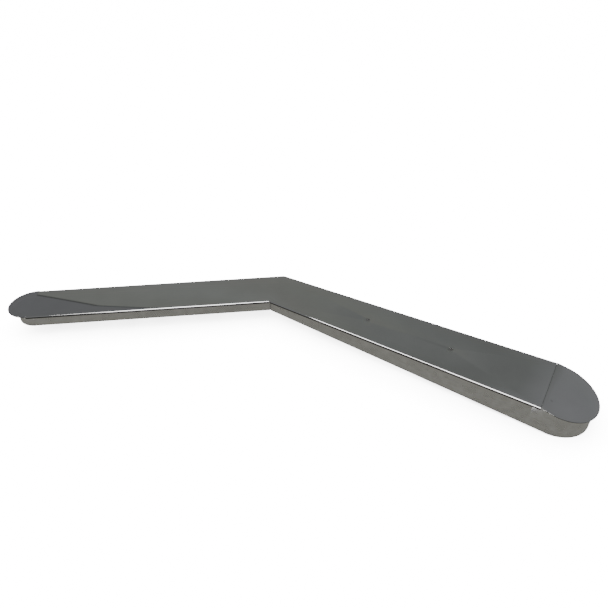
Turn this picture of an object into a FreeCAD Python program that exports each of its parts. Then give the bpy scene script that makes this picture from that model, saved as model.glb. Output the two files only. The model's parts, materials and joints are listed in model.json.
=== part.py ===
"""Angled running board for a truck: a polished stainless deck with two legs that meet at a bend.

Millimetres, +Z up. The origin is the middle of the two mounting holes, on the deck's top face.
+X runs along the long leg towards its end, and +Y is the outside of the bend.
Each leg is drawn in a frame of its own: x from the bend's vertex, where the legs' middle lines
cross, to the leg's end, z up, and y across it. The short leg has parallel edges. The long leg
widens towards its end. Offsets are measured square to an edge, inwards from the deck's.
"""

import FreeCAD
import Part

import math
import os

# Deck and legs
short_leg_width = 152.0
long_end_width = 206.0
long_leg_taper = 3.04
sheet = 2.0
bend_angle = 37.7
long_leg_length = 1026.0
short_leg_length = 888.0
lip_depth = 6.5
lip_radius = 3.2
lip_slit = 2.4
lip_relief_radius = 2.6
cap_seam_before_arc = 32.5
seam_gap = 0.5
cap_droop = 11.8

# Skirts that stand under the deck
side_inset = 8.0
long_end_inset = 12.6
short_end_inset = 27.0
shallow_depth = 42.0
deep_depth = 90.0
skirt_flange = 12.0
skirt_mitre_gap = 1.6
gasket_thickness = 1.5
gasket_setback = 1.0
gasket_width = 10.0

# Stiffening channel down the middle of each leg
channel_width = 46.0
channel_depth = 21.0
channel_sheet = 3.0
channel_from_bend = 85.0
channel_before_arc = 57.0
gusset_width = 100.0

# Cross ribs
long_rib_stations = (165.0, 290.0, 680.0, 830.0)
short_rib_stations = (160.0, 310.0, 600.0, 740.0)
rib_flange = 18.0
rib_tab = 12.0
rib_clearance = 1.0
rib_foot_clearance = 3.0
rib_hole_share = 0.3

# Splices behind the skirts' corner seams, and strips under the cap seams
splice_reach = 38.0
splice_clearance = 1.5
seam_strip_width = 40.0
seam_strip_clearance = 1.0
end_web_clearance = 2.0
lightening_radius = 18.0

# Mounting
mount_hole_radius = 6.5
mount_hole_spacing = 270.0
mount_hole_station = 480.0
stud_plate_length = 170.0
stud_plate_thickness = 4.0
stud_spacing = 110.0
stud_radius = 5.0
stud_length = 15.0
stud_chamfer = 1.0
stud_plate_station = 455.0

# Weld studs that hold the deck and caps, with their washers and nuts
pin_radius = 3.0
pin_length = 15.0
pin_chamfer = 0.6
pin_hole_radius = 3.4
washer_radius = 7.0
washer_thickness = 1.2
nut_width = 10.0
nut_height = 5.0
pin_from_flange = 9.0
end_pin_spread = 42.0
end_pin_back = 10.0

half_bend = math.radians(bend_angle / 2)
under_deck = -sheet
skirt_top = under_deck - gasket_thickness
far = 4000.0
tall = 400.0
behind = -400.0

X = FreeCAD.Vector(1, 0, 0)
Y = FreeCAD.Vector(0, 1, 0)
Z = FreeCAD.Vector(0, 0, 1)
vertex = FreeCAD.Vector(-mount_hole_station, 0, 0)


def vec(x, y, z=0.0):
    return FreeCAD.Vector(x, y, z)


def box(x_low, x_high, y_low, y_high, z_low, z_high):
    return Part.makeBox(x_high - x_low, y_high - y_low, z_high - z_low, vec(x_low, y_low, z_low))


def plan_prism(points, z_low, z_high):
    """Closed outline of (x, y) points, pulled up from z_low to z_high."""
    corners = [vec(x, y, z_low) for x, y in points]
    face = Part.Face(Part.makePolygon(corners + corners[:1]))
    return face.extrude(Z * (z_high - z_low))


def side_prism(points, y_half):
    """Closed outline of (x, z) points, pulled from -y_half to y_half."""
    corners = [vec(x, -y_half, z) for x, z in points]
    face = Part.Face(Part.makePolygon(corners + corners[:1]))
    return face.extrude(Y * (2 * y_half))


def cylinder(x, y, radius, z_low, z_high):
    return Part.makeCylinder(radius, z_high - z_low, vec(x, y, z_low), Z)


def tongue(radius, centre, taper):
    """A leg's plan as a tall prism: two edges that run on tangent into a round end about centre."""
    start_half = radius / math.cos(taper) - (centre - behind) * math.tan(taper)
    tangent_x = centre - radius * math.sin(taper)
    tangent_y = radius * math.cos(taper)
    corners = [
        vec(behind, -start_half, -tall),
        vec(tangent_x, -tangent_y, -tall),
        vec(tangent_x, tangent_y, -tall),
        vec(behind, start_half, -tall),
    ]
    edges = [
        Part.LineSegment(corners[0], corners[1]).toShape(),
        Part.Arc(corners[1], vec(centre + radius, 0, -tall), corners[2]).toShape(),
        Part.LineSegment(corners[2], corners[3]).toShape(),
        Part.LineSegment(corners[3], corners[0]).toShape(),
    ]
    return Part.Face(Part.Wire(edges)).extrude(Z * (2 * tall))


class Leg:
    """One leg's frame and outline. outside is the sign of local y on the outside of the bend."""

    def __init__(self, length, end_width, taper, turn, outside, end_inset, end_depth, ribs):
        self.length = length
        self.radius = end_width / 2
        self.taper = math.radians(taper / 2)
        self.turn = turn
        self.outside = outside
        self.arc_centre = length - self.radius
        shift = end_inset - side_inset
        self.skirt_centre = self.arc_centre - shift
        self.skirt_radius = self.radius - side_inset - shift * math.sin(self.taper)
        self.end_depth = end_depth
        self.ribs = ribs
        self.droop = 0.0
        self.seam = length
        self.flange_end = self.skirt_centre
        self.web_start = self.skirt_centre + end_web_clearance

    def outline(self, offset=0.0):
        """The deck's plan, moved inwards by the offset."""
        return tongue(self.radius - offset, self.arc_centre, self.taper)

    def skirt_outline(self, offset=0.0):
        """The skirt's plan, moved inwards from its outer face by the offset."""
        return tongue(self.skirt_radius - offset, self.skirt_centre, self.taper)

    def skirt_ring(self, outer, inner):
        """The band between two offsets of the skirt's plan."""
        return self.skirt_outline(outer).cut(self.skirt_outline(inner))

    def half_at(self, x, offset):
        """Half of the leg's width at x, between edges that are moved inwards by the offset."""
        return (self.radius - offset) / math.cos(self.taper) - (self.arc_centre - x) * math.tan(self.taper)

    def placed(self, shape):
        """The shape moved from the leg's own frame into the part's frame."""
        moved = shape.copy()
        moved.rotate(vec(0, 0), Z, self.turn)
        moved.translate(vertex)
        return moved

    def mitred(self, shape, offset=0.0, gap=0.0):
        """The shape in the part's frame, cut where the edges at that offset cross, less half of the gap."""
        inner, outer = mitre_corner(-1, offset), mitre_corner(1, offset)
        along = math.atan2(outer.y - inner.y, outer.x - inner.x)
        side = box(gap / 2, far, -far, far, -tall, tall)
        side.rotate(vec(0, 0), Z, math.degrees(along) - 90 * self.outside)
        side.translate(inner)
        return self.placed(shape).common(side)

    def edge(self, side, offset):
        """A point and the direction of the edge on one side of the bend, in the part's frame."""
        sign = side * self.outside
        turn = FreeCAD.Rotation(Z, self.turn)
        reach = self.radius - offset
        point = vec(self.arc_centre - reach * math.sin(self.taper), sign * reach * math.cos(self.taper))
        heading = vec(math.cos(self.taper), sign * math.sin(self.taper))
        return turn.multVec(point) + vertex, turn.multVec(heading)

    def mitre_x(self, side, offset):
        """How far along this leg the edges at that offset cross."""
        corner = mitre_corner(side, offset) - vertex
        return FreeCAD.Rotation(Z, -self.turn).multVec(corner).x

    def top_drop(self, x):
        """How far the top face lies below the deck at x, past the cap's seam."""
        return max(x - self.seam, 0.0) * math.tan(self.droop)

    def bottom(self, x):
        """Height of the skirt's lower edge at x."""
        share = max(x, 0.0) / self.length
        return -(shallow_depth + (self.end_depth - shallow_depth) * share)

    def layer(self, top, thickness, x_low, x_high):
        """A slab under the top face: flat up to the seam, then parallel to the drooping cap."""
        stops = sorted({x_low, min(max(self.seam, x_low), x_high), x_high})
        upper = [(x, top - self.top_drop(x)) for x in stops]
        lower = [(x, z - thickness) for x, z in reversed(upper)]
        return side_prism(upper + lower, far)

    def foot_layer(self, thickness, x_low, x_high):
        """A slab that follows the skirt's lower edge, from it upwards."""
        stops = sorted({x_low, min(max(0.0, x_low), x_high), x_high})
        lower = [(x, self.bottom(x)) for x in stops]
        upper = [(x, z + thickness) for x, z in reversed(lower)]
        return side_prism(lower + upper, far)

    def skirt_space(self):
        """Everything between the gasket and the skirt's lower edge."""
        end = self.length
        upper = [(behind, skirt_top), (self.seam, skirt_top), (end, skirt_top - self.top_drop(end))]
        lower = [(end, self.bottom(end)), (0.0, self.bottom(0.0)), (behind, self.bottom(0.0))]
        return side_prism(upper + lower, far)


class CappedLeg(Leg):
    """A leg whose deck stops at a seam, where a separate drooping cap takes over."""

    def __init__(self, *sizes):
        super().__init__(*sizes)
        self.droop = math.radians(cap_droop)
        self.seam = self.arc_centre - cap_seam_before_arc
        self.flange_end = self.seam - seam_strip_width / 2 - seam_strip_clearance
        self.web_start = self.seam + seam_strip_width / 2 + end_web_clearance


long_leg = CappedLeg(
    long_leg_length, long_end_width, long_leg_taper, 0.0, 1, long_end_inset, deep_depth, long_rib_stations
)
short_leg = Leg(
    short_leg_length, short_leg_width, 0.0, 180.0 + bend_angle, -1, short_end_inset, shallow_depth,
    short_rib_stations
)
legs = {"long": long_leg, "short": short_leg}


def mitre_corner(side, offset):
    """Where the two legs' edges cross, on the outside (1) or the inside (-1) of the bend."""
    start, heading = long_leg.edge(side, offset)
    other, other_heading = short_leg.edge(side, offset)
    gap = other - start
    across = heading.x * other_heading.y - heading.y * other_heading.x
    share = (gap.x * other_heading.y - gap.y * other_heading.x) / across
    return start + heading * share


def lip(leg, sign, end):
    """The rounded fold and the lip along one edge of a leg, up to x = end."""
    edge = leg.radius
    inner = lip_radius - sheet
    flat = edge - lip_radius

    def corner(y, z):
        return vec(behind, sign * y, z)

    def arc(radius):
        middle = radius * math.sqrt(0.5)
        ends = corner(flat, radius - lip_radius), corner(flat + radius, -lip_radius)
        return Part.Arc(ends[0], corner(flat + middle, middle - lip_radius), ends[1]).toShape()

    def line(a, b):
        return Part.LineSegment(corner(*a), corner(*b)).toShape()

    edges = [
        arc(lip_radius),
        line((edge, -lip_radius), (edge, -lip_depth)),
        line((edge, -lip_depth), (edge - sheet, -lip_depth)),
        line((edge - sheet, -lip_depth), (edge - sheet, -lip_radius)),
        arc(inner),
        line((flat, -sheet), (flat, 0)),
    ]
    strip = Part.Face(Part.Wire(Part.__sortEdges__(edges))).extrude(X * (leg.length - behind))
    strip.rotate(vec(leg.arc_centre, 0), Z, sign * math.degrees(leg.taper))
    return strip.common(box(behind / 2, end, -far, far, -tall, tall))


def lipped_strip(leg, end):
    """A leg's sheet up to x = end, with a rounded lip folded down along both edges."""
    flat = leg.outline(lip_radius).common(box(behind / 2, end, -far, far, under_deck, 0.0))
    return flat.fuse([lip(leg, 1, end), lip(leg, -1, end)])


def deck_plate():
    """Both legs' deck as one folded sheet, with its mounting holes and its corner reliefs."""
    long_strip = lipped_strip(long_leg, long_leg.seam - seam_gap / 2)
    short_end = short_leg.arc_centre
    round_end = short_leg.outline().common(box(short_end, far, -far, far, under_deck, 0.0))
    short_strip = lipped_strip(short_leg, short_end).fuse(round_end)
    plate = long_leg.mitred(long_strip).fuse(short_leg.mitred(short_strip))
    inner, outer = mitre_corner(-1, 0.0), mitre_corner(1, 0.0)
    along = math.degrees(math.atan2(outer.y - inner.y, outer.x - inner.x))
    for place, heading in ((inner, along), (outer, along + 180)):
        slit = box(-2 * lip_radius, lip_radius + lip_slit, -lip_slit / 2, lip_slit / 2, -tall, tall)
        slit.rotate(vec(0, 0), Z, heading)
        slit.translate(place)
        relief = cylinder(place.x, place.y, lip_relief_radius, -tall, under_deck)
        plate = plate.cut(slit).cut(relief)
    for sign in (-1, 1):
        plate = plate.cut(mount_hole(sign))
    return plate.removeSplitter()


def mount_hole(sign):
    return cylinder(sign * mount_hole_spacing / 2, 0, mount_hole_radius, -tall, tall)


def end_cap(leg):
    """The round plate past the seam, whose face droops from the deck's."""
    outline = leg.outline()
    outline.rotate(vec(leg.seam, 0), Y, math.degrees(leg.droop))
    return leg.placed(outline.common(leg.layer(0.0, sheet, leg.seam + seam_gap / 2, leg.length + leg.radius)))


def seam_strip(leg):
    """The strip under the cap's seam that the deck and the cap are both welded to."""
    inside = leg.skirt_outline(sheet + skirt_flange + seam_strip_clearance)
    strip = leg.layer(under_deck, sheet, leg.seam - seam_strip_width / 2, leg.seam + seam_strip_width / 2)
    return leg.placed(strip.common(inside))


def skirt(leg):
    """The band that stands under a leg and wraps its end, with a flange along each straight edge."""
    wall = leg.skirt_ring(0.0, sheet)
    ledge = leg.skirt_ring(0.0, skirt_flange)
    top_flange = ledge.common(leg.layer(skirt_top, sheet, behind / 2, leg.flange_end))
    foot_flange = ledge.common(leg.foot_layer(sheet, behind / 2, leg.skirt_centre))
    band = wall.common(leg.skirt_space()).fuse([top_flange, foot_flange]).removeSplitter()
    return leg.mitred(band, side_inset, skirt_mitre_gap)


def gasket(leg):
    """The soft strip between the skirt and the deck, round the whole leg."""
    band = leg.skirt_ring(gasket_setback, gasket_setback + gasket_width)
    strip = band.common(leg.layer(under_deck, gasket_thickness, behind / 2, leg.length))
    return leg.mitred(strip, side_inset, skirt_mitre_gap)


def channel(leg, holes):
    """The inverted channel under the middle of a leg, with its web against the deck."""
    start, end = channel_from_bend, leg.arc_centre - channel_before_arc
    half = channel_width / 2
    outer = box(start, end, -half, half, under_deck - channel_depth, under_deck)
    hollow = box(
        start, end, -half + channel_sheet, half - channel_sheet, -tall, under_deck - channel_sheet
    )
    shape = leg.placed(outer.cut(hollow))
    for sign in holes:
        shape = shape.cut(mount_hole(sign))
    return shape


def bend_gusset():
    """The plate round the bend that joins the two channels' webs."""
    half = gusset_width / 2
    slant = half * math.tan(half_bend)
    ends = []
    for leg in legs.values():
        ends.append([vec(channel_from_bend, sign * leg.outside * half) for sign in (1, -1)])
    far_ends = [FreeCAD.Rotation(Z, short_leg.turn).multVec(point) for point in ends[1]]
    points = [ends[0][0], ends[0][1], vec(slant, -half), far_ends[1], far_ends[0], vec(-slant, half)]
    outline = [(point.x + vertex.x, point.y + vertex.y) for point in points]
    plate = plan_prism(outline, under_deck - channel_sheet, under_deck)
    return plate.cut(cylinder(vertex.x, vertex.y, lightening_radius, -tall, tall))


def rib(leg, station):
    """A cross rib: a web across the leg, notched for the channel, with top flanges and end tabs."""
    foot = leg.bottom(station) + sheet + rib_foot_clearance
    ledge_room = skirt_flange + rib_clearance
    ledge_z = skirt_top - sheet - rib_clearance
    side = channel_width / 2 + rib_clearance
    flange_reach = leg.half_at(station, side_inset + ledge_room)
    inside = leg.skirt_outline(sheet)
    web = box(station, station + sheet, -far, far, foot, under_deck).common(inside)
    web = web.cut(box(-far, far, -side, side, under_deck - channel_depth, tall))
    tabs = leg.skirt_ring(sheet, 2 * sheet).common(box(station, station + rib_tab, -far, far, foot, ledge_z))
    parts = [web, tabs]
    for sign in (-1, 1):
        low, high = sorted((sign * side, sign * flange_reach))
        parts.append(box(station, station + rib_flange, low, high, under_deck - sheet, under_deck))
    shape = parts[0].fuse(parts[1:])
    ledge = leg.skirt_ring(0.0, ledge_room).common(box(0, far, -far, far, ledge_z, tall))
    shape = shape.cut(ledge)
    for sign in (-1, 1):
        shape = shape.cut(cylinder(*rib_pin(leg, station, sign), pin_hole_radius, -tall, tall))
    channel_foot = under_deck - channel_depth
    radius = rib_hole_share * (channel_foot - foot)
    hole = Part.makeCylinder(radius, rib_flange, vec(station - sheet, 0, (foot + channel_foot) / 2), X)
    return leg.placed(shape.cut(hole).removeSplitter())


def rib_pin(leg, station, sign):
    """Where the weld stud over one side of a rib stands."""
    x = station + (rib_flange + sheet) / 2
    return x, sign * (leg.half_at(x, side_inset + sheet + skirt_flange) - pin_from_flange)


def end_web(leg):
    """The plate inside a skirt's round end, which the cap's studs pass through."""
    plate = leg.skirt_outline(sheet).common(leg.layer(skirt_top, sheet, leg.web_start, leg.length))
    for sign in (-1, 1):
        plate = plate.cut(at_end_pin(leg, sign, pin_hole_radius, skirt_top - 2 * sheet, skirt_top + sheet))
    return leg.placed(plate)


def at_end_pin(leg, sign, radius, z_low, z_high):
    """A cylinder square to the cap, at one of its two studs, given in depths below the cap's face."""
    x = leg.skirt_centre + end_pin_back
    shape = cylinder(0, 0, radius, z_low, z_high)
    shape.rotate(vec(0, 0), Y, math.degrees(leg.droop))
    shape.translate(vec(x, sign * end_pin_spread, -leg.top_drop(x)))
    return shape


def end_hardware(leg, make, depth):
    """One piece of hardware at each stud of a round end, tilted with the plate that it hangs from."""
    x = leg.skirt_centre + end_pin_back
    shapes = []
    for sign in (-1, 1):
        shape = make(depth * math.cos(leg.droop))
        shape.rotate(vec(0, 0), Y, math.degrees(leg.droop))
        shape.translate(vec(x, sign * end_pin_spread, -leg.top_drop(x)))
        shapes.append(leg.placed(shape))
    return shapes


def rib_hardware(make, height):
    """One piece of hardware at each stud over each rib."""
    shapes = []
    for leg in legs.values():
        for station in leg.ribs:
            for sign in (-1, 1):
                shape = make(height)
                shape.translate(vec(*rib_pin(leg, station, sign)))
                shapes.append(leg.placed(shape))
    return shapes


def chamfered_pin(x, y, radius, length, chamfer, top):
    """A pin that hangs down from top, with its lower end chamfered."""
    body = cylinder(x, y, radius, top - length, top)
    lower = [edge for edge in body.Edges if edge.BoundBox.ZMax < top - length / 2]
    return body.makeChamfer(chamfer, lower)


def weld_stud(top):
    return chamfered_pin(0, 0, pin_radius, pin_length, pin_chamfer, top)


def washer(top):
    ring = cylinder(0, 0, washer_radius, top - washer_thickness, top)
    return ring.cut(cylinder(0, 0, pin_radius, -tall, tall))


def nut(top):
    """A hex nut whose corners are turned off on its lower face."""
    reach = nut_width / math.sqrt(3)
    corners = [
        (reach * math.cos(math.radians(60 * k)), reach * math.sin(math.radians(60 * k))) for k in range(6)
    ]
    body = plan_prism(corners, top - nut_height, top)
    cone = Part.makeCone(nut_width / 2, nut_width / 2 + nut_height, nut_height, vec(0, 0, top - nut_height))
    return body.common(cone).cut(cylinder(0, 0, pin_radius, -tall, tall))


def splice(outside):
    """The angled plate behind the skirts' seam, on the outside or the inside of the bend."""
    arms = []
    offset = side_inset + sheet
    for leg in legs.values():
        low, high = sorted((0.0, leg.outside * outside * far))
        reach = leg.mitre_x(outside, offset) + splice_reach
        lower = leg.bottom(0.0) + sheet + splice_clearance
        upper = skirt_top - sheet - splice_clearance
        side = box(behind / 2, reach, low, high, lower, upper)
        arms.append(leg.mitred(leg.skirt_ring(sheet, 2 * sheet).common(side), offset))
    plate = arms[0].fuse(arms[1]).removeSplitter()
    for leg in legs.values():
        plate = plate.cut(leg.mitred(foot_corner(leg), offset))
        plate = plate.cut(leg.mitred(leg.skirt_ring(0.0, sheet), side_inset, skirt_mitre_gap))
    return plate


def foot_corner(leg):
    """The room that the skirt's foot flange takes, with the splice's clearance over it."""
    return leg.foot_layer(sheet + splice_clearance, behind / 2, leg.length)


def stud_plate():
    """The plate across the short channel that carries the two mounting studs."""
    half = channel_width / 2
    low, high = stud_plate_station - stud_plate_length / 2, stud_plate_station + stud_plate_length / 2
    top = under_deck - channel_depth
    return short_leg.placed(box(low, high, -half, half, top - stud_plate_thickness, top))


def mounting_studs():
    """The two studs pressed into the stud plate, pointing down."""
    top = under_deck - channel_depth - stud_plate_thickness
    shapes = []
    for sign in (-1, 1):
        x = stud_plate_station + sign * stud_spacing / 2
        stud = chamfered_pin(x, 0, stud_radius, stud_length, stud_chamfer, top)
        shapes.append(short_leg.placed(stud))
    return shapes


def build():
    """Every node by name."""
    rib_washer_top = under_deck - sheet
    end_washer_top = skirt_top - sheet
    nodes = {
        "deck_plate": deck_plate(),
        "bend_gusset": bend_gusset(),
        "inside_corner_splice": splice(-1),
        "outside_corner_splice": splice(1),
        "long_leg_channel": channel(long_leg, (-1, 1)),
        "short_leg_channel": channel(short_leg, ()),
        "long_end_cap": end_cap(long_leg),
        "cap_seam_strip": seam_strip(long_leg),
        "mounting_stud_plate": stud_plate(),
        "mounting_studs": Part.makeCompound(mounting_studs()),
        "deck_weld_studs": Part.makeCompound(rib_hardware(weld_stud, under_deck)),
        "deck_stud_washers": Part.makeCompound(rib_hardware(washer, rib_washer_top)),
        "deck_stud_nuts": Part.makeCompound(rib_hardware(nut, rib_washer_top - washer_thickness)),
    }
    ends = {"end_weld_studs": [], "end_stud_washers": [], "end_stud_nuts": []}
    for name, leg in legs.items():
        nodes[f"{name}_leg_skirt"] = skirt(leg)
        nodes[f"{name}_leg_gasket"] = gasket(leg)
        nodes[f"{name}_end_web"] = end_web(leg)
        for number, station in enumerate(leg.ribs, 1):
            nodes[f"{name}_leg_rib_{number}"] = rib(leg, station)
        ends["end_weld_studs"] += end_hardware(leg, weld_stud, under_deck)
        ends["end_stud_washers"] += end_hardware(leg, washer, end_washer_top)
        ends["end_stud_nuts"] += end_hardware(leg, nut, end_washer_top - washer_thickness / math.cos(leg.droop))
    for name, shapes in ends.items():
        nodes[name] = Part.makeCompound(shapes)
    return nodes


os.makedirs("parts", exist_ok=True)
for name, shape in build().items():
    shape.exportStep(f"parts/{name}.step")
    print(f"{name}: {len(shape.Solids)} solid, {shape.Volume / 1000:.1f} cm3, valid {shape.isValid()}")
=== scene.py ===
import json
import math

import bmesh
import bpy
from mathutils import Matrix, Vector

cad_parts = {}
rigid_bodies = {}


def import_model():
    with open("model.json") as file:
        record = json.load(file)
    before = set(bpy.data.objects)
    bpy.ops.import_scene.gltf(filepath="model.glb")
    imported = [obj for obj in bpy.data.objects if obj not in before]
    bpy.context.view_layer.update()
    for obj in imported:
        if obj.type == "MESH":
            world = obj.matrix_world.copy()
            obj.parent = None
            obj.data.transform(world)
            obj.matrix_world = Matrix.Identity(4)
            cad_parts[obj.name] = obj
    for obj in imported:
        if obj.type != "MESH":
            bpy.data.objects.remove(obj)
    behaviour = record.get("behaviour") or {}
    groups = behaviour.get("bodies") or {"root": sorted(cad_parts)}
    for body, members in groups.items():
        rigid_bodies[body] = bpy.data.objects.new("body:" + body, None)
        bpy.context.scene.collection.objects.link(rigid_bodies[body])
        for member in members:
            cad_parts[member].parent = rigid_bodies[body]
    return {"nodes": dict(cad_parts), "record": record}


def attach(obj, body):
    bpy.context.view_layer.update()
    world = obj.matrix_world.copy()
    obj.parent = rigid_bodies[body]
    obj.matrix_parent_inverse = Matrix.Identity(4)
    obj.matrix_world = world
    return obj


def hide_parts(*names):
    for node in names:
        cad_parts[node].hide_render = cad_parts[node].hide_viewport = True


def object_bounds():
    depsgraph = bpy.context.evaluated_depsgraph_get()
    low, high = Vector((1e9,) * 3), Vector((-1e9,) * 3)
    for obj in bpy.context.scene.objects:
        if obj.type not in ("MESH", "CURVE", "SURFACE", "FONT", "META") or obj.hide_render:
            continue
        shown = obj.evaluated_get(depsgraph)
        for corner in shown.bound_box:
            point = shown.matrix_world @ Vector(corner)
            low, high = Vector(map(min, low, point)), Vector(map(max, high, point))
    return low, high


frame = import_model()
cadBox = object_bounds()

# the board's own sizes, in metres; the frame's origin is midway between the two deck holes
board = {
    "bend": math.radians(37.7),
    "kinkX": -0.480,
    "sheet": 0.002,
    "sideInset": 0.008,
    "droop": math.radians(11.8),
    "topOfSkirt": -0.0035,
    "depthAtBend": 0.042,
}
legs = {
    "long": {
        "turn": 0.0, "outside": 1, "length": 1.026, "radius": 0.103, "taper": math.radians(1.52),
        "endInset": 0.0126, "depthAtEnd": 0.090, "seam": 0.8905, "topFlangeEnd": 0.8695,
    },
    "short": {
        "turn": math.radians(217.7), "outside": -1, "length": 0.888, "radius": 0.076, "taper": 0.0,
        "endInset": 0.027, "depthAtEnd": 0.042, "seam": None, "topFlangeEnd": 0.793,
    },
}
for leg in legs.values():
    leg["centre"] = leg["length"] - leg["radius"]
    leg["skirtCentre"] = leg["centre"] - (leg["endInset"] - board["sideInset"])
    narrowing = (leg["centre"] - leg["skirtCentre"]) * math.sin(leg["taper"])
    leg["skirtRadius"] = leg["radius"] - board["sideInset"] - narrowing
nodes = frame["nodes"]


# places on the board


def legTurn(leg):
    return Matrix.Rotation(leg["turn"], 3, "Z")


def legPoint(leg, x, y, z=0.0):
    return legTurn(leg) @ Vector((x, y, z)) + Vector((board["kinkX"], 0.0, 0.0))


def halfAt(leg, x, offset):
    return (leg["radius"] - offset) / math.cos(leg["taper"]) - (leg["centre"] - x) * math.tan(leg["taper"])


def edgePoint(leg, x, bendSide, offset, z=0.0):
    return legPoint(leg, x, bendSide * leg["outside"] * halfAt(leg, x, offset), z)


def edgeHeading(leg, bendSide):
    side = bendSide * leg["outside"]
    return legTurn(leg) @ Vector((math.cos(leg["taper"]), side * math.sin(leg["taper"]), 0.0))


def inward(leg, bendSide):
    side = bendSide * leg["outside"]
    return legTurn(leg) @ Vector((math.sin(leg["taper"]), -side * math.cos(leg["taper"]), 0.0))


def cornerPoint(bendSide, offset, z=0.0):
    start, heading = edgePoint(legs["long"], 0.0, bendSide, offset), edgeHeading(legs["long"], bendSide)
    other, otherHeading = edgePoint(legs["short"], 0.0, bendSide, offset), edgeHeading(legs["short"], bendSide)
    gap = other - start
    across = heading.x * otherHeading.y - heading.y * otherHeading.x
    share = (gap.x * otherHeading.y - gap.y * otherHeading.x) / across
    return start + heading * share + Vector((0.0, 0.0, z))


# small modelling helpers


def deselectAll():
    if bpy.context.object and bpy.context.object.mode != "OBJECT":
        bpy.ops.object.mode_set(mode="OBJECT")
    for thing in bpy.context.view_layer.objects:
        thing.select_set(False)


def applyPlace(piece):
    deselectAll()
    piece.select_set(True)
    bpy.context.view_layer.objects.active = piece
    bpy.ops.object.transform_apply(location=True, rotation=True, scale=True)


def editPiece(piece, mode="VERT"):
    deselectAll()
    piece.select_set(True)
    bpy.context.view_layer.objects.active = piece
    bpy.ops.object.mode_set(mode="EDIT")
    bpy.ops.mesh.select_mode(type=mode)


def pickPoints(piece, test):
    bpy.ops.mesh.select_all(action="DESELECT")
    mesh = bmesh.from_edit_mesh(piece.data)
    for point in mesh.verts:
        point.select = test(point.co)
    mesh.select_flush(True)
    bmesh.update_edit_mesh(piece.data)


def pickNearest(piece, place):
    mesh = bmesh.from_edit_mesh(piece.data)
    nearest = min(mesh.verts, key=lambda point: (point.co - place).length)
    at = nearest.co.copy()
    pickPoints(piece, lambda co: (co - at).length < 1e-7)
    return at


def pickEdges(piece, test):
    bpy.ops.mesh.select_all(action="DESELECT")
    bpy.ops.mesh.select_mode(type="EDGE")
    mesh = bmesh.from_edit_mesh(piece.data)
    for edge in mesh.edges:
        edge.select = test(edge)
    mesh.select_flush(True)
    bmesh.update_edit_mesh(piece.data)


def drawOn(piece, start, places):
    at = pickNearest(piece, start)
    for place in places:
        bpy.ops.mesh.extrude_region_move(TRANSFORM_OT_translate={"value": place - at})
        at = place.copy()


def moveBy(value):
    bpy.ops.transform.translate(value=value)


def cutAway(place, normal, clearInner=False, clearOuter=False, fill=False):
    bpy.ops.mesh.select_all(action="SELECT")
    bpy.ops.mesh.bisect(
        plane_co=place, plane_no=normal, use_fill=fill, clear_inner=clearInner, clear_outer=clearOuter
    )


def finishModifier(piece, kind, name, **values):
    modifier = piece.modifiers.new(name, kind)
    for key, value in values.items():
        setattr(modifier, key, value)
    deselectAll()
    piece.select_set(True)
    bpy.context.view_layer.objects.active = piece
    bpy.ops.object.modifier_apply(modifier=name)


def faceUpwards(piece, isOutward):
    editPiece(piece, "FACE")
    bpy.ops.mesh.select_all(action="SELECT")
    bpy.ops.mesh.normals_make_consistent(inside=False)
    bpy.ops.object.mode_set(mode="OBJECT")
    votes = sum(face.area * isOutward(face) for face in piece.data.polygons)
    if votes < 0:
        editPiece(piece, "FACE")
        bpy.ops.mesh.select_all(action="SELECT")
        bpy.ops.mesh.flip_normals()
        bpy.ops.object.mode_set(mode="OBJECT")


def smoothPiece(piece, angle=35.0):
    deselectAll()
    piece.select_set(True)
    bpy.context.view_layer.objects.active = piece
    bpy.ops.object.shade_smooth_by_angle(angle=math.radians(angle))


def roundEnd(name, place, radius, turn, keep, steps=128):
    deselectAll()
    bpy.ops.mesh.primitive_circle_add(vertices=steps, radius=radius, location=place, rotation=turn)
    piece = bpy.context.object
    piece.name = name
    piece.data.name = name
    applyPlace(piece)
    editPiece(piece)
    pickPoints(piece, lambda co: not keep(co))
    bpy.ops.mesh.delete(type="VERT")
    return piece


# camera, standing in front of the bend and turned to the left
cameraSetup = {
    "place": (0.4107, -1.2246, 1.0278),
    "heading": 32.59,
    "down": 35.97,
    "roll": -0.78,
    "lens": 31.58,
}


def makeCamera():
    data = bpy.data.cameras.new("studioCamera")
    data.sensor_width = 36.0
    data.lens = cameraSetup["lens"]
    data.clip_end = 100.0
    camera = bpy.data.objects.new("studioCamera", data)
    bpy.context.scene.collection.objects.link(camera)
    turn = Matrix.Rotation(math.radians(cameraSetup["heading"]), 4, "Z")
    tip = Matrix.Rotation(math.radians(90.0 - cameraSetup["down"]), 4, "X")
    roll = Matrix.Rotation(math.radians(cameraSetup["roll"]), 4, "Z")
    camera.matrix_world = Matrix.Translation(cameraSetup["place"]) @ turn @ tip @ roll
    bpy.context.scene.camera = camera


makeCamera()
print("camera ready")


# node helpers


def addNode(tree, kind, **values):
    node = tree.nodes.new(kind)
    for name, value in values.items():
        setattr(node, name, value)
    return node


def newMaterial(name):
    material = bpy.data.materials.new(name)
    material.use_nodes = True
    tree = material.node_tree
    tree.nodes.clear()
    output = addNode(tree, "ShaderNodeOutputMaterial")
    shader = addNode(tree, "ShaderNodeBsdfPrincipled")
    tree.links.new(shader.outputs["BSDF"], output.inputs["Surface"])
    return material, tree, shader


def newGroup(name, inputs, outputs):
    tree = bpy.data.node_groups.new(name, "ShaderNodeTree")
    for label, kind, value in inputs:
        socket = tree.interface.new_socket(name=label, in_out="INPUT", socket_type=kind)
        if value is not None:
            socket.default_value = value
    for label, kind in outputs:
        tree.interface.new_socket(name=label, in_out="OUTPUT", socket_type=kind)
    return tree, addNode(tree, "NodeGroupInput"), addNode(tree, "NodeGroupOutput")


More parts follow.
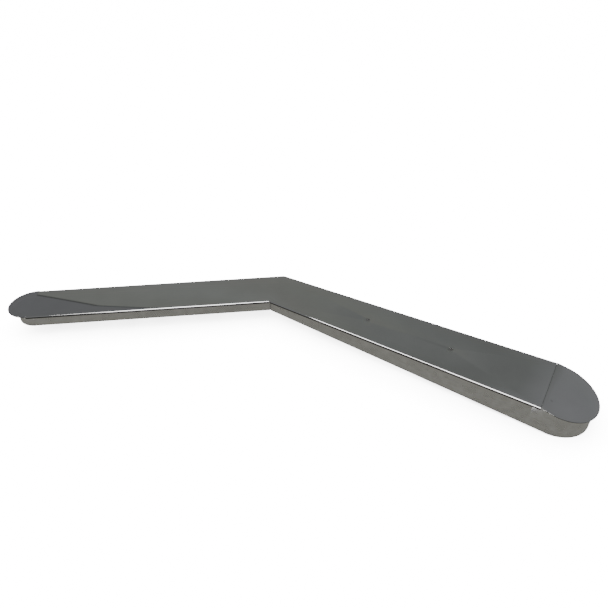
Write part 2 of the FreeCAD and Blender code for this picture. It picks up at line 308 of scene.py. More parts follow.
def rangeNode(tree, source, low, high, toLow, toHigh):
    node = addNode(tree, "ShaderNodeMapRange")
    for name, value in (("From Min", low), ("From Max", high), ("To Min", toLow), ("To Max", toHigh)):
        node.inputs[name].default_value = value
    tree.links.new(source, node.inputs["Value"])
    return node.outputs["Result"]


def mathNode(tree, operation, first, second):
    node = addNode(tree, "ShaderNodeMath", operation=operation)
    for index, value in enumerate((first, second)):
        if isinstance(value, (int, float)):
            node.inputs[index].default_value = value
        else:
            tree.links.new(value, node.inputs[index])
    return node.outputs["Value"]


# floor, room and lights
room = {
    "floorSize": 60.0,
    "floorMiddle": (-0.2, 0.0),
    "floorTone": (0.9, 0.9, 0.9),
    "floorRough": 0.9,
    "floorMirrored": (0.305, 0.305, 0.285),
    "seen": 1.0,
    "floorGlow": 16.0,
    "shadowReach": 0.14,
    "shadowSamples": 16,
    "tonesFrom": 40.0,
    "tonesTo": 170.0,
    "tones": (
        (60.0, (0.258, 0.263, 0.274)),
        (76.0, (0.246, 0.252, 0.260)),
        (86.0, (0.190, 0.198, 0.195)),
        (93.0, (0.186, 0.194, 0.190)),
        (106.8, (0.207, 0.216, 0.212)),
        (116.9, (0.225, 0.234, 0.220)),
        (125.4, (0.229, 0.234, 0.221)),
        (134.0, (0.248, 0.258, 0.248)),
        (143.7, (0.234, 0.243, 0.230)),
        (149.50, (0.232, 0.241, 0.229)),
        (149.62, (0.062, 0.065, 0.066)),
        (149.88, (0.062, 0.065, 0.066)),
        (150.0, (0.182, 0.186, 0.194)),
    ),
    "ceiling": (0.42, 0.42, 0.42),
    "ceilingFrom": 0.80,
    "ceilingTo": 0.90,
}

softboxes = {
    "overhead": {
        "place": (-0.3, -0.6, 2.6), "aim": (-0.3, -0.2, 0.0), "size": (3.6, 2.4), "power": 165.0,
    },
    "fromCamera": {
        "place": (0.9, -3.2, 1.9), "aim": (-0.2, 0.0, 0.0), "size": (2.5, 1.5), "power": 45.0,
    },
}


def makeFloor():
    deselectAll()
    bpy.ops.mesh.primitive_plane_add(size=room["floorSize"], location=(*room["floorMiddle"], cadBox[0].z))
    floor = bpy.context.object
    floor.name = "studioFloor"
    material, tree, shader = newMaterial("paleFloor")
    shader.inputs["Base Color"].default_value = (*room["floorTone"], 1.0)
    shader.inputs["Roughness"].default_value = room["floorRough"]
    shader.inputs["Specular IOR Level"].default_value = 0.0
    output = next(node for node in tree.nodes if node.type == "OUTPUT_MATERIAL")
    mirrored = addNode(tree, "ShaderNodeEmission")
    mirrored.inputs["Color"].default_value = (*room["floorMirrored"], 1.0)
    path = addNode(tree, "ShaderNodeLightPath")
    # painted contact shadow: ambient occlusion near the board dims the floor's camera-seen glow
    paintedContactShadow = addNode(tree, "ShaderNodeAmbientOcclusion", samples=room["shadowSamples"])
    paintedContactShadow.inputs["Distance"].default_value = room["shadowReach"]
    glow = addNode(tree, "ShaderNodeEmission")
    tree.links.new(paintedContactShadow.outputs["Color"], glow.inputs["Color"])
    strength = mathNode(tree, "MULTIPLY", path.outputs["Is Camera Ray"], room["floorGlow"])
    tree.links.new(strength, glow.inputs["Strength"])
    lit = addNode(tree, "ShaderNodeAddShader")
    tree.links.new(shader.outputs["BSDF"], lit.inputs[0])
    tree.links.new(glow.outputs["Emission"], lit.inputs[1])
    pick = addNode(tree, "ShaderNodeMixShader")
    tree.links.new(path.outputs["Is Glossy Ray"], pick.inputs["Fac"])
    tree.links.new(lit.outputs["Shader"], pick.inputs[1])
    tree.links.new(mirrored.outputs["Emission"], pick.inputs[2])
    tree.links.new(pick.outputs["Shader"], output.inputs["Surface"])
    floor.data.materials.append(material)


def makeRoomLight():
    world = bpy.data.worlds.new("studioRoom")
    bpy.context.scene.world = world
    world.use_nodes = True
    tree = world.node_tree
    tree.nodes.clear()
    output = addNode(tree, "ShaderNodeOutputWorld")
    place = addNode(tree, "ShaderNodeTexCoord")
    parts = addNode(tree, "ShaderNodeSeparateXYZ")
    tree.links.new(place.outputs["Generated"], parts.inputs["Vector"])
    angle = mathNode(tree, "ARCTAN2", parts.outputs["Y"], parts.outputs["X"])
    low, high = room["tonesFrom"], room["tonesTo"]
    around = rangeNode(tree, angle, math.radians(low), math.radians(high), 0.0, 1.0)
    walls = addNode(tree, "ShaderNodeValToRGB")
    ramp = walls.color_ramp
    ramp.elements.remove(ramp.elements[1])
    for index, (degrees, tone) in enumerate(room["tones"]):
        spot = (degrees - low) / (high - low)
        element = ramp.elements[0] if index == 0 else ramp.elements.new(spot)
        element.position = spot
        element.color = (*tone, 1.0)
    tree.links.new(around, walls.inputs["Fac"])
    height = addNode(tree, "ShaderNodeMapRange", interpolation_type="SMOOTHSTEP")
    height.inputs["From Min"].default_value = room["ceilingFrom"]
    height.inputs["From Max"].default_value = room["ceilingTo"]
    tree.links.new(parts.outputs["Z"], height.inputs["Value"])
    shade = addNode(tree, "ShaderNodeMix", data_type="RGBA")
    tree.links.new(height.outputs["Result"], shade.inputs["Factor"])
    tree.links.new(walls.outputs["Color"], shade.inputs["A"])
    shade.inputs["B"].default_value = (*room["ceiling"], 1.0)
    seen = addNode(tree, "ShaderNodeBackground")
    seen.inputs["Color"].default_value = (room["seen"],) * 3 + (1.0,)
    mirrored = addNode(tree, "ShaderNodeBackground")
    tree.links.new(shade.outputs["Result"], mirrored.inputs["Color"])
    path = addNode(tree, "ShaderNodeLightPath")
    pick = addNode(tree, "ShaderNodeMixShader")
    tree.links.new(path.outputs["Is Camera Ray"], pick.inputs["Fac"])
    tree.links.new(mirrored.outputs["Background"], pick.inputs[1])
    tree.links.new(seen.outputs["Background"], pick.inputs[2])
    tree.links.new(pick.outputs["Shader"], output.inputs["Surface"])


def makeSoftbox(name, place, aim, size, power):
    data = bpy.data.lights.new(name, "AREA")
    data.shape = "RECTANGLE"
    data.size, data.size_y = size
    data.energy = power
    light = bpy.data.objects.new(name, data)
    bpy.context.scene.collection.objects.link(light)
    light.location = place
    light.rotation_euler = (Vector(aim) - Vector(place)).to_track_quat("-Z", "Y").to_euler()


makeFloor()
makeRoomLight()
for name, softbox in softboxes.items():
    makeSoftbox(name, softbox["place"], softbox["aim"], softbox["size"], softbox["power"])
print("studio ready")


# shared effects


def makeSheetFinish():
    tree, given, made = newGroup(
        "sheetFinish",
        [
            ("Place", "NodeSocketVector", None),
            ("Streak Scale", "NodeSocketFloat", 900.0),
            ("Blotch Scale", "NodeSocketFloat", 14.0),
            ("Wave Scale", "NodeSocketFloat", 5.0),
        ],
        [("Streaks", "NodeSocketFloat"), ("Blotches", "NodeSocketFloat"), ("Waves", "NodeSocketFloat")],
    )
    squash = addNode(tree, "ShaderNodeVectorMath", operation="MULTIPLY")
    squash.inputs[1].default_value = (0.02, 1.0, 1.0)
    tree.links.new(given.outputs["Place"], squash.inputs[0])
    for label, source, scale, detail in (
        ("Streaks", squash.outputs["Vector"], "Streak Scale", 3.0),
        ("Blotches", given.outputs["Place"], "Blotch Scale", 5.0),
        ("Waves", given.outputs["Place"], "Wave Scale", 1.0),
    ):
        noise = addNode(tree, "ShaderNodeTexNoise")
        noise.inputs["Detail"].default_value = detail
        noise.inputs["Roughness"].default_value = 0.55
        tree.links.new(source, noise.inputs["Vector"])
        tree.links.new(given.outputs[scale], noise.inputs["Scale"])
        tree.links.new(noise.outputs["Fac"], made.inputs[label])
    return tree


def makeZincSpangle():
    tree, given, made = newGroup(
        "zincSpangle",
        [("Place", "NodeSocketVector", None), ("Scale", "NodeSocketFloat", 130.0)],
        [("Tone", "NodeSocketFloat"), ("Stain", "NodeSocketFloat"), ("Height", "NodeSocketFloat")],
    )
    flakes = addNode(tree, "ShaderNodeTexVoronoi")
    flakes.inputs["Randomness"].default_value = 1.0
    tree.links.new(given.outputs["Place"], flakes.inputs["Vector"])
    tree.links.new(given.outputs["Scale"], flakes.inputs["Scale"])
    parts = addNode(tree, "ShaderNodeSeparateColor")
    tree.links.new(flakes.outputs["Color"], parts.inputs["Color"])
    tree.links.new(parts.outputs["Red"], made.inputs["Tone"])
    tree.links.new(flakes.outputs["Distance"], made.inputs["Height"])
    stain = addNode(tree, "ShaderNodeTexNoise")
    stain.inputs["Scale"].default_value = 9.0
    stain.inputs["Detail"].default_value = 6.0
    tree.links.new(given.outputs["Place"], stain.inputs["Vector"])
    tree.links.new(stain.outputs["Fac"], made.inputs["Stain"])
    return tree


def makeFoamCells():
    tree, given, made = newGroup(
        "foamCells",
        [("Place", "NodeSocketVector", None), ("Scale", "NodeSocketFloat", 1400.0)],
        [("Cells", "NodeSocketFloat"), ("Dust", "NodeSocketFloat")],
    )
    cells = addNode(tree, "ShaderNodeTexVoronoi")
    tree.links.new(given.outputs["Place"], cells.inputs["Vector"])
    tree.links.new(given.outputs["Scale"], cells.inputs["Scale"])
    tree.links.new(cells.outputs["Distance"], made.inputs["Cells"])
    dust = addNode(tree, "ShaderNodeTexNoise")
    dust.inputs["Scale"].default_value = 60.0
    dust.inputs["Detail"].default_value = 4.0
    tree.links.new(given.outputs["Place"], dust.inputs["Vector"])
    tree.links.new(dust.outputs["Fac"], made.inputs["Dust"])
    return tree


sheetFinish = makeSheetFinish()
zincSpangle = makeZincSpangle()
foamCells = makeFoamCells()


def placeGroup(tree, group, turn=0.0, **values):
    place = addNode(tree, "ShaderNodeTexCoord")
    mapping = addNode(tree, "ShaderNodeMapping")
    mapping.inputs["Rotation"].default_value = (0.0, 0.0, turn)
    tree.links.new(place.outputs["Object"], mapping.inputs["Vector"])
    node = addNode(tree, "ShaderNodeGroup", node_tree=group)
    tree.links.new(mapping.outputs["Vector"], node.inputs["Place"])
    for label, value in values.items():
        node.inputs[label].default_value = value
    return node


def mixTones(tree, factor, dark, light):
    mix = addNode(tree, "ShaderNodeMix", data_type="RGBA")
    mix.inputs["A"].default_value = (*dark, 1.0)
    mix.inputs["B"].default_value = (*light, 1.0)
    tree.links.new(factor, mix.inputs["Factor"])
    return mix.outputs["Result"]


def scaleTone(tree, colour, factor):
    mix = addNode(tree, "ShaderNodeMix", data_type="RGBA", blend_type="MULTIPLY")
    mix.inputs["Factor"].default_value = 1.0
    tree.links.new(colour, mix.inputs["A"])
    tree.links.new(factor, mix.inputs["B"])
    return mix.outputs["Result"]


def addBumps(tree, shader, layers):
    normal = None
    for height, strength, distance in layers:
        bump = addNode(tree, "ShaderNodeBump")
        bump.inputs["Strength"].default_value = strength
        bump.inputs["Distance"].default_value = distance
        tree.links.new(height, bump.inputs["Height"])
        if normal is not None:
            tree.links.new(normal, bump.inputs["Normal"])
        normal = bump.outputs["Normal"]
    tree.links.new(normal, shader.inputs["Normal"])


deckFinish = {
    "dark": (0.575, 0.575, 0.570),
    "light": (0.625, 0.625, 0.620),
    "roughLow": 0.03,
    "roughHigh": 0.055,
    "streakBump": 0.008,
    "waveBump": 0.003,
    "spotPlace": (0.428, -0.056, -0.006),  # the spot-weld mark on the cap
    "spotSize": 0.0035,
    "spotShade": 0.8,
}


def makeDeckStainless(name, turn, withSpot=False):
    material, tree, shader = newMaterial(name)
    scales = {"Streak Scale": 700.0, "Blotch Scale": 9.0, "Wave Scale": 3.2}
    grain = placeGroup(tree, sheetFinish, turn, **scales)
    blotches = rangeNode(tree, grain.outputs["Blotches"], 0.3, 0.7, 0.0, 1.0)
    colour = mixTones(tree, blotches, deckFinish["dark"], deckFinish["light"])
    if withSpot:
        size = deckFinish["spotSize"]
        place = addNode(tree, "ShaderNodeTexCoord")
        away = addNode(tree, "ShaderNodeVectorMath", operation="DISTANCE")
        away.inputs[1].default_value = deckFinish["spotPlace"]
        tree.links.new(place.outputs["Object"], away.inputs[0])
        shade = rangeNode(
            tree, away.outputs["Value"], size * 0.3, size * 1.6, deckFinish["spotShade"], 1.0
        )
        colour = scaleTone(tree, colour, shade)
    tree.links.new(colour, shader.inputs["Base Color"])
    shader.inputs["Metallic"].default_value = 1.0
    low, high = deckFinish["roughLow"], deckFinish["roughHigh"]
    tree.links.new(rangeNode(tree, grain.outputs["Blotches"], 0.3, 0.7, high, low), shader.inputs["Roughness"])
    addBumps(tree, shader, [
        (grain.outputs["Waves"], deckFinish["waveBump"], 0.004),
        (grain.outputs["Streaks"], deckFinish["streakBump"], 0.0001),
    ])
    return material


skirtFinish = {
    "dark": (0.545, 0.540, 0.520),
    "light": (0.690, 0.685, 0.665),
    "rough": (0.24, 0.36),
    "blotchShare": 0.65,
    "paintedFootShade": 0.62,
    "footHeight": 0.007,
}


def makeSkirtStainless(name, leg):
    # painted shade: darker towards the foot, standing in for shade along the lower edge; the height above the lower
    # edge grows with the leg's own slope
    material, tree, shader = newMaterial(name)
    scales = {"Streak Scale": 420.0, "Blotch Scale": 42.0, "Wave Scale": 11.0}
    grain = placeGroup(tree, sheetFinish, -leg["turn"], **scales)
    share = skirtFinish["blotchShare"]
    blotches = mathNode(tree, "MULTIPLY", grain.outputs["Blotches"], share)
    streaks = mathNode(tree, "MULTIPLY", grain.outputs["Streaks"], 1.0 - share)
    tone = rangeNode(tree, mathNode(tree, "ADD", blotches, streaks), 0.32, 0.68, 0.0, 1.0)
    colour = mixTones(tree, tone, skirtFinish["dark"], skirtFinish["light"])
    place = addNode(tree, "ShaderNodeTexCoord")
    parts = addNode(tree, "ShaderNodeSeparateXYZ")
    tree.links.new(place.outputs["Object"], parts.inputs["Vector"])
    slope = (leg["depthAtEnd"] - board["depthAtBend"]) / leg["length"]
    lift = mathNode(tree, "MULTIPLY", mathNode(tree, "SUBTRACT", parts.outputs["X"], board["kinkX"]), slope)
    height = mathNode(tree, "ADD", mathNode(tree, "ADD", parts.outputs["Z"], lift), board["depthAtBend"])
    # painted shade: the colour is scaled down within footHeight of the lower edge
    shade = rangeNode(tree, height, 0.0, skirtFinish["footHeight"], skirtFinish["paintedFootShade"], 1.0)
    tree.links.new(scaleTone(tree, colour, shade), shader.inputs["Base Color"])
    shader.inputs["Metallic"].default_value = 1.0
    rough = rangeNode(tree, grain.outputs["Blotches"], 0.3, 0.7, *skirtFinish["rough"])
    tree.links.new(rough, shader.inputs["Roughness"])
    addBumps(tree, shader, [
        (grain.outputs["Waves"], 0.2, 0.002),
        (grain.outputs["Streaks"], 0.12, 0.0002),
    ])
    return material


edgeShadeTones = {
    "dark": (0.035, 0.035, 0.033),
    "light": (0.085, 0.085, 0.08),
    "rough": (0.35, 0.55),
}


def makeEdgeShadeMaterial():
    # painted shade: cut edges and the lower side of the folded lips get a near-black colour that stands in for the
    # dark shade line along the lips
    material, tree, shader = newMaterial("paintedEdgeShade")
    scales = {"Streak Scale": 1500.0, "Blotch Scale": 30.0, "Wave Scale": 10.0}
    grain = placeGroup(tree, sheetFinish, 0.0, **scales)
    colour = mixTones(tree, grain.outputs["Blotches"], edgeShadeTones["dark"], edgeShadeTones["light"])
    tree.links.new(colour, shader.inputs["Base Color"])
    shader.inputs["Metallic"].default_value = 1.0
    rough = rangeNode(tree, grain.outputs["Streaks"], 0.3, 0.7, *edgeShadeTones["rough"])
    tree.links.new(rough, shader.inputs["Roughness"])
    addBumps(tree, shader, [(grain.outputs["Streaks"], 0.25, 0.0002)])
    return material


def makeGalvanised():
    material, tree, shader = newMaterial("galvanisedSteel")
    zinc = placeGroup(tree, zincSpangle, 0.0, Scale=130.0)
    flakes = mixTones(tree, zinc.outputs["Tone"], (0.36, 0.37, 0.385), (0.58, 0.59, 0.60))
    stain = rangeNode(tree, zinc.outputs["Stain"], 0.35, 0.75, 0.78, 1.05)
    tree.links.new(scaleTone(tree, flakes, stain), shader.inputs["Base Color"])
    shader.inputs["Metallic"].default_value = 1.0
    tree.links.new(rangeNode(tree, zinc.outputs["Tone"], 0.0, 1.0, 0.36, 0.58), shader.inputs["Roughness"])
    addBumps(tree, shader, [(zinc.outputs["Height"], 0.15, 0.0004)])
    return material


def makeZincPlate():
    material, tree, shader = newMaterial("zincPlate")
    scales = {"Streak Scale": 1800.0, "Blotch Scale": 160.0, "Wave Scale": 60.0}
    grain = placeGroup(tree, sheetFinish, 0.0, **scales)
    colour = mixTones(tree, grain.outputs["Blotches"], (0.52, 0.53, 0.50), (0.74, 0.74, 0.68))
    tree.links.new(colour, shader.inputs["Base Color"])
    shader.inputs["Metallic"].default_value = 1.0
    tree.links.new(rangeNode(tree, grain.outputs["Waves"], 0.3, 0.7, 0.22, 0.38), shader.inputs["Roughness"])
    addBumps(tree, shader, [(grain.outputs["Streaks"], 0.2, 0.0001)])
    return material


# black foam tape in its own colour; it also serves as painted shade, a dark strip for the shade line beneath the
# lip
def makeRubber():
    material, tree, shader = newMaterial("foamRubber")
    foam = placeGroup(tree, foamCells, 0.0, Scale=1400.0)
    dust = rangeNode(tree, foam.outputs["Dust"], 0.4, 0.75, 0.0, 1.0)
    colour = mixTones(tree, dust, (0.012, 0.012, 0.012), (0.045, 0.044, 0.042))
    tree.links.new(colour, shader.inputs["Base Color"])
    tree.links.new(rangeNode(tree, foam.outputs["Dust"], 0.3, 0.7, 0.7, 0.9), shader.inputs["Roughness"])
    addBumps(tree, shader, [(foam.outputs["Cells"], 0.5, 0.0003)])
    return material


finishes = {
    "deck_stainless": makeDeckStainless("deckStainless", 0.0),
    "skirt_stainless": makeSkirtStainless("longSkirtStainless", legs["long"]),
    "inner_steel": makeGalvanised(),
    "fastener_zinc": makeZincPlate(),
    "gasket_rubber": makeRubber(),
}
capStainless = makeDeckStainless("capStainless", 0.0, withSpot=True)
shortSkirtStainless = makeSkirtStainless("shortSkirtStainless", legs["short"])
# near-black painted shade for cut edges, lip faces and the lower part of the folds
paintedEdgeShade = makeEdgeShadeMaterial()
for part in frame["record"]["subparts"]:
    slots = nodes[part["node"]].data.materials
    slots.clear()
    slots.append(finishes[part["material_slot"]])
print("finishes ready")


def dressPiece(piece, finish, edgeFinish=None, isEdge=None):
    piece.data.materials.clear()
    piece.data.materials.append(finish)
    if edgeFinish is None:
        return
    piece.data.materials.append(edgeFinish)
    for face in piece.data.polygons:
        face.material_index = 1 if isEdge(face) else 0


def adopt(piece, slot, *replaced):
    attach(piece, "root")
    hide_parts(*replaced)


# deck sheet: one folded sheet with a rounded lip along both edges of each leg
deckSheet = {
    "lipRadius": 0.0032,
    "lipDepth": 0.0065,
    "foldSteps": 8,
    "slit": 0.0024,
    "seamGap": 0.0005,
    "holeRadius": 0.0065,
    "holeSpacing": 0.270,
    "edgeRound": 0.0003,
    "paintedShadeBelow": 0.42,  # the fold gets the painted shade where it faces this little upwards
}


def foldLip(piece, leg, bendSide, endX):
    fold = deckSheet["lipRadius"]
    heading = edgeHeading(leg, bendSide)
    slit = heading * deckSheet["slit"] / 2
    start, end = cornerPoint(bendSide, fold), edgePoint(leg, endX, bendSide, fold)
    profile = []
    for step in range(1, deckSheet["foldSteps"] + 1):
        angle = math.pi / 2 * step / deckSheet["foldSteps"]
        profile.append((fold * (1 - math.sin(angle)), fold * (math.cos(angle) - 1)))
    profile.append((0.0, -deckSheet["lipDepth"]))
    middle = (start + end) / 2
    pickEdges(piece, lambda edge: ((edge.verts[0].co + edge.verts[1].co) / 2 - middle).length < 1e-5)
    for step, (offset, z) in enumerate(profile):
        nextStart = cornerPoint(bendSide, offset, z) + slit
        nextEnd = edgePoint(leg, endX, bendSide, offset, z)
        bpy.ops.mesh.extrude_region_move(TRANSFORM_OT_translate={"value": nextEnd - end})
        moved = start + (nextEnd - end)
        bpy.ops.mesh.select_mode(type="VERT")
        pickNearest(piece, moved)
        moveBy(nextStart - moved)
        start, end = nextStart, nextEnd
        half = (start + end) / 2
        pickEdges(piece, lambda edge: ((edge.verts[0].co + edge.verts[1].co) / 2 - half).length < 1e-6)


def makeDeckSheet():
    long, short = legs["long"], legs["short"]
    fold = deckSheet["lipRadius"]
    seamX = long["seam"] - deckSheet["seamGap"] / 2
    centreX = short["centre"]
    ahead = legTurn(short) @ Vector((1.0, 0.0, 0.0))
    middle = legPoint(short, centreX, 0.0)
    piece = roundEnd(
        "deckSheet", middle, short["radius"], (0.0, 0.0, short["turn"]),
        lambda co: (co - middle) @ ahead > -1e-6,
    )
    drawOn(piece, edgePoint(short, centreX, 1, 0.0), [
        edgePoint(short, centreX, 1, fold),
        cornerPoint(1, fold),
        edgePoint(long, seamX, 1, fold),
        edgePoint(long, seamX, -1, fold),
        cornerPoint(-1, fold),
        edgePoint(short, centreX, -1, fold),
        edgePoint(short, centreX, -1, 0.0),
    ])
    bpy.ops.mesh.select_all(action="SELECT")
    bpy.ops.mesh.remove_doubles(threshold=1e-6)
    bpy.ops.mesh.edge_face_add()
    for leg, endX in ((long, seamX), (short, centreX)):
        for bendSide in (1, -1):
            foldLip(piece, leg, bendSide, endX)
            bpy.ops.mesh.select_mode(type="VERT")
    faceUpwards(piece, lambda face: face.normal.z)
    finishModifier(piece, "SOLIDIFY", "sheetThickness", thickness=board["sheet"], offset=-1.0, use_even_offset=True)
    for side in (-1, 1):
        deselectAll()
        bpy.ops.mesh.primitive_cylinder_add(
            vertices=72, radius=deckSheet["holeRadius"], depth=0.02,
            location=(side * deckSheet["holeSpacing"] / 2, 0.0, 0.0),
        )
        drill = bpy.context.object
        finishModifier(
            piece, "BOOLEAN", "boltHole", operation="DIFFERENCE", object=drill, solver="EXACT"
        )
        bpy.data.objects.remove(drill)
    finishModifier(
        piece, "BEVEL", "edgeRound", width=deckSheet["edgeRound"], segments=3, limit_method="ANGLE",
        angle_limit=math.radians(50.0), use_clamp_overlap=True
    )
    smoothPiece(piece)

    def onFold(place):
        for leg in legs.values():
            for bendSide in (1, -1):
                offset = (place - edgePoint(leg, 0.0, bendSide, 0.0)) @ inward(leg, bendSide)
                along = (place - cornerPoint(bendSide, 0.0)) @ edgeHeading(leg, bendSide)
                limit = (leg["seam"] or leg["centre"]) - 0.03
                if -0.0002 < offset < fold + 0.0002 and 0.0 < along < limit:
                    return True
        return False

    # painted shade: edge faces, hole walls, lip faces and the lower part of each fold get the near-black
    # painted-shade colour
    def getsPaintedShade(face):
        if face.normal.z > 0.95 or face.normal.z < -0.3 and face.center.z > -board["sheet"] * 1.1:
            return False
        if onFold(face.center):
            return face.normal.z < deckSheet["paintedShadeBelow"]
        return True

    dressPiece(piece, finishes["deck_stainless"], paintedEdgeShade, getsPaintedShade)
    adopt(piece, "deck_stainless", "deck_plate")
    return piece


makeDeckSheet()
print("deck sheet ready")


# end cap: the drooping round plate past the seam
endCap = {"gap": 0.0005, "edgeRound": 0.0004}


def makeEndCap():
    leg = legs["long"]
    tip = Matrix.Rotation(board["droop"], 3, "Y")
    seam = legPoint(leg, leg["seam"], 0.0)

    def onCap(x, y):
        return seam + tip @ Vector((x - leg["seam"], y, 0.0))

    ahead = tip @ Vector((1.0, 0.0, 0.0))
    middle = onCap(leg["centre"], 0.0)
    tangentX = leg["centre"] - leg["radius"] * math.sin(leg["taper"])
    tangentY = leg["radius"] * math.cos(leg["taper"])
    startX = leg["seam"] + endCap["gap"] / 2
    startY = halfAt(leg, startX, 0.0)
    piece = roundEnd(
        "endCapSheet", middle, leg["radius"], (0.0, board["droop"], 0.0),
        lambda co: (co - middle) @ ahead > -0.001,
    )
    drawOn(piece, onCap(tangentX, tangentY), [
        onCap(tangentX, tangentY),
        onCap(startX, startY),
        onCap(startX, -startY),
        onCap(tangentX, -tangentY),
    ])
    bpy.ops.mesh.select_all(action="SELECT")
    bpy.ops.mesh.remove_doubles(threshold=2e-5)
    closeWire(piece)
    bpy.ops.mesh.select_all(action="SELECT")
    bpy.ops.mesh.edge_face_add()
    faceUpwards(piece, lambda face: face.normal.z)
    thickness = board["sheet"] * math.cos(board["droop"])
    finishModifier(piece, "SOLIDIFY", "sheetThickness", thickness=thickness, offset=-1.0)
    finishModifier(
        piece, "BEVEL", "edgeRound", width=endCap["edgeRound"], segments=3,
        limit_method="ANGLE", angle_limit=math.radians(50.0),
    )
    smoothPiece(piece)
    up = tip @ Vector((0.0, 0.0, 1.0))
    # painted shade: the cap's edge faces get the near-black painted-shade colour
    dressPiece(piece, capStainless, paintedEdgeShade, lambda face: abs(face.normal @ up) < 0.95)
    adopt(piece, "deck_stainless", "long_end_cap")
    return piece


def closeWire(piece):
    # joins the two loose ends of an open outline
    mesh = bmesh.from_edit_mesh(piece.data)
    loose = [point.co.copy() for point in mesh.verts if len(point.link_edges) == 1]
    if len(loose) == 2:
        pickPoints(piece, lambda co: min((co - end).length for end in loose) < 1e-7)
        bpy.ops.mesh.edge_face_add()


makeEndCap()
print("end cap ready")


# skirts: a band round each leg, with folded flanges along its straight runs
skirtBand = {
    "flange": 0.012,
    "foldRound": 0.0014,
    "gap": 0.0016,
    "edgeRound": 0.0004,
    "past": 0.03,
}


def makeSkirt(name, leg, finish, node):
    centre, radius = leg["skirtCentre"], leg["skirtRadius"]
    ahead = legTurn(leg) @ Vector((1.0, 0.0, 0.0))
    top = 0.01
    middle = legPoint(leg, centre, 0.0, top)
    tangentX = centre - radius * math.sin(leg["taper"])
    inset = board["sideInset"]
    piece = roundEnd(name, middle, radius, (0.0, 0.0, leg["turn"]), lambda co: (co - middle) @ ahead > -0.001)
    for bendSide in (1, -1):
        tangent = edgePoint(leg, tangentX, bendSide, inset, top)
        back = cornerPoint(bendSide, inset, top) - edgeHeading(leg, bendSide) * skirtBand["past"]
        drawOn(piece, tangent, [tangent, back])
    bpy.ops.mesh.select_all(action="SELECT")
    bpy.ops.mesh.remove_doubles(threshold=2e-5)
    bpy.ops.mesh.select_all(action="SELECT")
    bpy.ops.mesh.extrude_region_move(TRANSFORM_OT_translate={"value": (0.0, 0.0, -0.12)})
    slope = (leg["depthAtEnd"] - board["depthAtBend"]) / leg["length"]
    cutAway((0.0, 0.0, board["topOfSkirt"]), (0.0, 0.0, 1.0), clearOuter=True)
    if leg["seam"]:
        fall = Matrix.Rotation(board["droop"], 3, "Y") @ Vector((0.0, 0.0, 1.0))
        cutAway(legPoint(leg, leg["seam"], 0.0, board["topOfSkirt"]), fall, clearOuter=True)
    foot = Vector((slope, 0.0, 1.0)).normalized()
    cutAway(legPoint(leg, 0.0, 0.0, -board["depthAtBend"]), legTurn(leg) @ foot, clearInner=True)
    cutAway(legPoint(leg, leg["topFlangeEnd"], 0.0), ahead)
    cutAway(legPoint(leg, tangentX, 0.0), ahead)

    def alongLeg(co):
        return (co - legPoint(leg, 0.0, 0.0)) @ ahead

    def footHeight(co):
        return co.z + board["depthAtBend"] + slope * max(alongLeg(co), -1.0)

    for bendSide in (1, -1):
        out = -inward(leg, bendSide)
        for isTop, limit in ((True, leg["topFlangeEnd"]), (False, tangentX)):
            def isFold(edge):
                ends = [edge.verts[0].co, edge.verts[1].co]
                if any(alongLeg(co) > limit + 1e-5 for co in ends):
                    return False
                if any(abs((co - edgePoint(leg, 0.0, bendSide, inset)) @ out) > 1e-4 for co in ends):
                    return False
                if isTop:
                    return all(abs(co.z - board["topOfSkirt"]) < 1e-5 for co in ends)
                return all(abs(footHeight(co)) < 1e-5 for co in ends)

            pickEdges(piece, isFold)
            bpy.ops.mesh.extrude_region_move(TRANSFORM_OT_translate={"value": -out * skirtBand["flange"]})
            pickEdges(piece, isFold)
            bpy.ops.mesh.bevel(offset=skirtBand["foldRound"], offset_type="OFFSET", segments=4, affect="EDGES")
    bpy.ops.mesh.select_mode(type="VERT")
    bpy.ops.mesh.select_all(action="SELECT")
    bpy.ops.mesh.remove_doubles(threshold=1e-6)

    def outwardness(face):
        away = face.center - legPoint(leg, min(alongLeg(face.center), centre), 0.0, face.center.z)
        return face.normal @ away if abs(face.normal.z) < 0.5 else 0.0

    faceUpwards(piece, outwardness)
    finishModifier(piece, "SOLIDIFY", "sheetThickness", thickness=board["sheet"], offset=-1.0, use_even_offset=True)
    inner, outer = cornerPoint(-1, inset), cornerPoint(1, inset)
    across = (outer - inner).normalized()
    normal = Vector((across.y, -across.x, 0.0)) * leg["outside"]
    editPiece(piece, "FACE")
    cutAway(inner + normal * skirtBand["gap"] / 2, normal, clearInner=True, fill=True)
    finishModifier(
        piece, "BEVEL", "edgeRound", width=skirtBand["edgeRound"], segments=2, limit_method="ANGLE",
        angle_limit=math.radians(50.0), use_clamp_overlap=True
    )
    smoothPiece(piece)
    dressPiece(piece, finish)
    adopt(piece, "skirt_stainless", node)
    return piece


makeSkirt("longSkirtBand", legs["long"], finishes["skirt_stainless"], "long_leg_skirt")
makeSkirt("shortSkirtBand", legs["short"], shortSkirtStainless, "short_leg_skirt")
print("skirts ready")


# threaded studs
studs = {
    "pinRadius": 0.003, "pinRoot": 0.00258, "pinLength": 0.015, "pinPitch": 0.001, "pinPlain": 0.0015,
    "boltRadius": 0.005, "boltRoot": 0.00438, "boltLength": 0.015, "boltPitch": 0.0015, "boltPlain": 0.001,
    "boltTop": -0.027, "boltStation": 0.455, "boltSpacing": 0.110,
    "ribs": {"long": (0.165, 0.290, 0.680, 0.830), "short": (0.160, 0.310, 0.600, 0.740)},
    "ribOver": 0.010, "fromEdge": 0.031, "endBack": 0.010, "endSpread": 0.042,
}


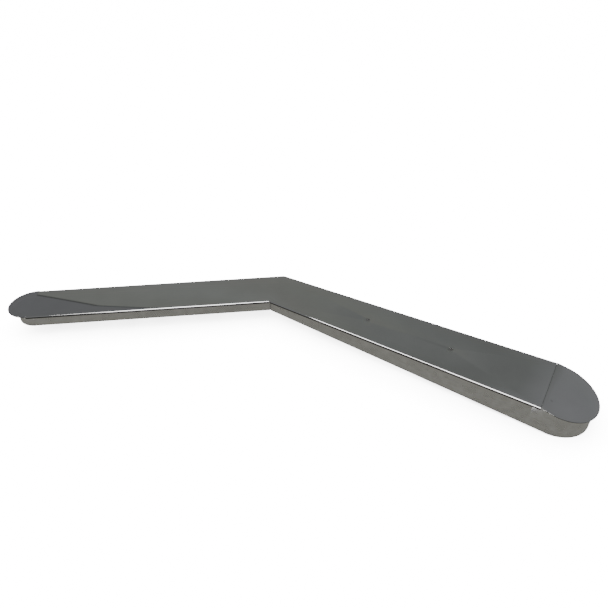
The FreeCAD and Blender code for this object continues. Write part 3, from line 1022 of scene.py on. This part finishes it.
def makeThreadedRod(name, radius, root, length, pitch, plain):
    deselectAll()
    bpy.ops.mesh.primitive_circle_add(vertices=20, radius=radius, fill_type="NGON", location=(0.0, 0.0, 0.0))
    piece = bpy.context.object
    piece.name = name
    editPiece(piece, "FACE")
    bpy.ops.mesh.select_all(action="SELECT")

    def stepDown(drop, factor, z):
        bpy.ops.mesh.extrude_region_move(TRANSFORM_OT_translate={"value": (0.0, 0.0, -drop)})
        bpy.ops.transform.resize(value=(factor, factor, 1.0), center_override=(0.0, 0.0, z - drop))
        return z - drop

    z = stepDown(plain, 1.0, 0.0)
    while z > -length + pitch * 1.2:
        z = stepDown(pitch * 0.4, root / radius, z)
        z = stepDown(pitch * 0.1, 1.0, z)
        z = stepDown(pitch * 0.4, radius / root, z)
        z = stepDown(pitch * 0.1, 1.0, z)
    stepDown(length + z, 0.82, z)
    bpy.ops.mesh.select_all(action="SELECT")
    bpy.ops.mesh.normals_make_consistent(inside=False)
    bpy.ops.object.mode_set(mode="OBJECT")
    smoothPiece(piece, 25.0)
    return piece


def layOut(model, name, places):
    copies = []
    for place in places:
        copy = model.copy()
        copy.data = model.data.copy()
        bpy.context.scene.collection.objects.link(copy)
        copy.matrix_world = place
        copies.append(copy)
    bpy.data.objects.remove(model)
    deselectAll()
    for copy in copies:
        copy.select_set(True)
    bpy.context.view_layer.objects.active = copies[0]
    bpy.ops.object.join()
    piece = bpy.context.object
    piece.name = name
    applyPlace(piece)
    dressPiece(piece, finishes["fastener_zinc"])
    return piece


def makeStuds():
    top = -board["sheet"]
    spots = []
    for name, leg in legs.items():
        for station in studs["ribs"][name]:
            x = station + studs["ribOver"]
            for bendSide in (1, -1):
                spots.append(Matrix.Translation(edgePoint(leg, x, bendSide, studs["fromEdge"], top)))
    pin = ("pinRadius", "pinRoot", "pinLength", "pinPitch", "pinPlain")
    bolt = ("boltRadius", "boltRoot", "boltLength", "boltPitch", "boltPlain")
    model = makeThreadedRod("pinModel", *(studs[key] for key in pin))
    adopt(layOut(model, "deckWeldPins", spots), "fastener_zinc", "deck_weld_studs")
    spots = []
    for leg in legs.values():
        x = leg["skirtCentre"] + studs["endBack"]
        droop = board["droop"] if leg["seam"] else 0.0
        drop = (x - leg["seam"]) * math.tan(droop) if leg["seam"] else 0.0
        tip = Matrix.Rotation(droop, 4, "Y")
        turn = Matrix.Rotation(leg["turn"], 4, "Z")
        for side in (-1, 1):
            spot = legPoint(leg, x, side * studs["endSpread"], -drop)
            under = Matrix.Translation((0.0, 0.0, top * math.cos(droop)))
            spots.append(Matrix.Translation(spot) @ turn @ tip @ under)
    model = makeThreadedRod("pinModel", *(studs[key] for key in pin))
    adopt(layOut(model, "endWeldPins", spots), "fastener_zinc", "end_weld_studs")
    spots = []
    for side in (-1, 1):
        x = studs["boltStation"] + side * studs["boltSpacing"] / 2
        spots.append(Matrix.Translation(legPoint(legs["short"], x, 0.0, studs["boltTop"])))
    model = makeThreadedRod("boltModel", *(studs[key] for key in bolt))
    adopt(layOut(model, "mountingBolts", spots), "fastener_zinc", "mounting_studs")


makeStuds()
print("studs ready")
